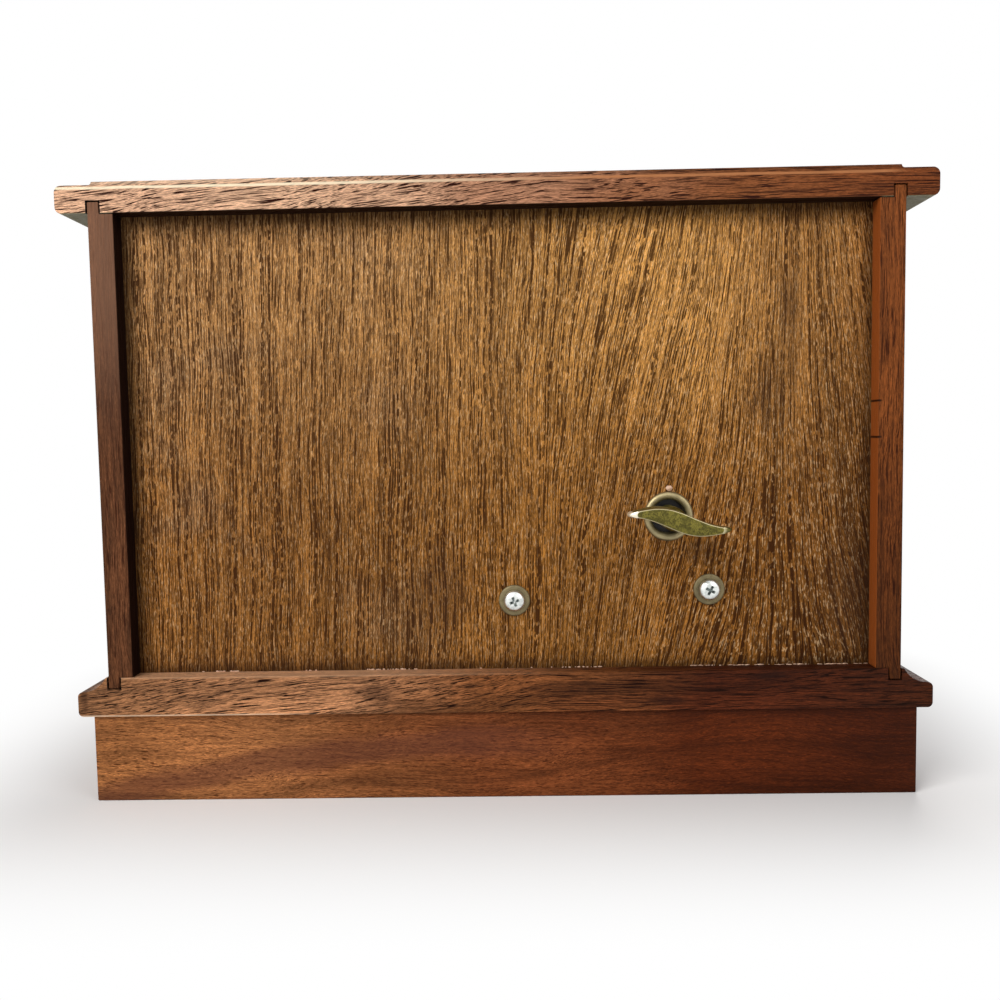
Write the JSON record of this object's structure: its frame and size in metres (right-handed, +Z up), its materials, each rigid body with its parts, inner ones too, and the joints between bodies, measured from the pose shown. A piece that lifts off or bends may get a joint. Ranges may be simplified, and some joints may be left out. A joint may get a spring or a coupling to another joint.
{
  "type": "musical jewellery chest",
  "caption": "Small wooden musical jewellery chest with full-width drawers, overhanging top, moulded base and a wind-up comb-and-cylinder movement keyed at the back.",
  "frame": {"origin": "on the surface the chest stands on, under the middle of the whole outline with knobs and key", "axes": "+Z up, -Y out of the drawer fronts, +Y out of the back with the key, +X to the right of a person facing the drawers"},
  "size_m": [0.203, 0.1362, 0.1465],
  "materials": {
    "carcass_wood": "satin, open grain",
    "panel_veneer": "satin, coarse pores",
    "drawer_front_wood": "satin",
    "plain_wood": "bare",
    "flock_lining": "flock",
    "cushion_velvet": "velvet",
    "knob_brass": "polished",
    "antique_brass": "dull",
    "movement_brass": "satin",
    "bright_screw": "zinc",
    "dull_washer": "dull",
    "movement_steel": "plated",
    "comb_steel": "ground"
  },
  "bodies": {
    "carcass": {"top_board": "carcass_wood", "base_board": "carcass_wood", "side_left": "carcass_wood", "side_right": "carcass_wood", "back_panel": "panel_veneer", "upper_shelf": "carcass_wood", "lower_shelf": "carcass_wood", "plinth_front": "carcass_wood", "plinth_back": "carcass_wood", "plinth_left": "carcass_wood", "plinth_right": "carcass_wood", "plinth_glue_blocks": "plain_wood", "drawer_stops": "plain_wood", "keyhole_eyelet": "antique_brass", "movement_screws": "bright_screw", "screw_washers": "dull_washer", "movement_bedplate": "movement_steel", "tone_comb": "comb_steel", "comb_screws": "bright_screw", "spring_barrel": "movement_steel", "mainspring": "comb_steel", "governor_frame": "movement_steel", "stop_lever_pin": "movement_steel"},
    "top_drawer": {"top_drawer_front": "drawer_front_wood", "top_drawer_side_left": "plain_wood", "top_drawer_side_right": "plain_wood", "top_drawer_back": "plain_wood", "top_drawer_bottom": "plain_wood", "top_drawer_lining": "flock_lining", "top_drawer_knobs": "knob_brass", "ring_cushion": "cushion_velvet"},
    "middle_drawer": {"middle_drawer_front": "drawer_front_wood", "middle_drawer_side_left": "plain_wood", "middle_drawer_side_right": "plain_wood", "middle_drawer_back": "plain_wood", "middle_drawer_bottom": "plain_wood", "middle_drawer_lining": "flock_lining", "middle_drawer_knobs": "knob_brass"},
    "bottom_drawer": {"bottom_drawer_front": "drawer_front_wood", "bottom_drawer_side_left": "plain_wood", "bottom_drawer_side_right": "plain_wood", "bottom_drawer_back": "plain_wood", "bottom_drawer_bottom": "plain_wood", "bottom_drawer_lining": "flock_lining", "bottom_drawer_knobs": "knob_brass"},
    "winding_train": {"winding_key": "antique_brass", "winding_arbor": "movement_steel", "crown_wheel": "movement_brass"},
    "cylinder": {"pinned_cylinder": "movement_brass", "cylinder_spindle": "movement_steel", "cylinder_pinion": "movement_brass", "cylinder_drive_wheel": "movement_brass"},
    "governor_wheel": {"governor_wheel": "movement_brass"},
    "governor_fan": {"governor_fan": "movement_steel"},
    "stop_lever": {"stop_lever": "movement_steel"}
  },
  "joints": [
    {"name": "top_drawer_slide", "type": "slide", "parent": "carcass", "child": "top_drawer", "axis": [0, -1, 0], "range_m": [0, 0.078]},
    {"name": "middle_drawer_slide", "type": "slide", "parent": "carcass", "child": "middle_drawer", "axis": [0, -1, 0], "range_m": [0, 0.052]},
    {"name": "bottom_drawer_slide", "type": "slide", "parent": "carcass", "child": "bottom_drawer", "axis": [0, -1, 0], "range_m": [0, 0.052]},
    {"name": "key_turn", "type": "hinge", "parent": "carcass", "child": "winding_train", "pos_m": [-0.04035, 0.0511, 0.0667], "axis": [0, 1, 0], "continuous": true},
    {"name": "cylinder_turn", "type": "hinge", "parent": "carcass", "child": "cylinder", "pos_m": [-0.02516, 0.0299, 0.06604], "axis": [0.999, 0, -0.0436], "continuous": true},
    {"name": "governor_turn", "type": "hinge", "parent": "carcass", "child": "governor_wheel", "pos_m": [-0.0099, 0.0299, 0.07626], "axis": [0.999, 0, -0.0436], "continuous": true},
    {"name": "fan_turn", "type": "hinge", "parent": "carcass", "child": "governor_fan", "pos_m": [-0.00971, 0.0299, 0.08065], "axis": [0, 1, 0], "continuous": true},
    {"name": "stop_lever_swing", "type": "hinge", "parent": "carcass", "child": "stop_lever", "pos_m": [-0.00951, 0.0434, 0.08527], "axis": [0.999, 0, -0.0436], "range_deg": [-17, 1]}
  ],
  "couplings": [
    {"joint": "cylinder_turn", "follows": "key_turn", "ratio": -2.5},
    {"joint": "governor_turn", "follows": "key_turn", "ratio": 10},
    {"joint": "fan_turn", "follows": "key_turn", "ratio": 80},
    {"joint": "stop_lever_swing", "follows": "middle_drawer_slide", "rad_per_m": -5.37}
  ]
}
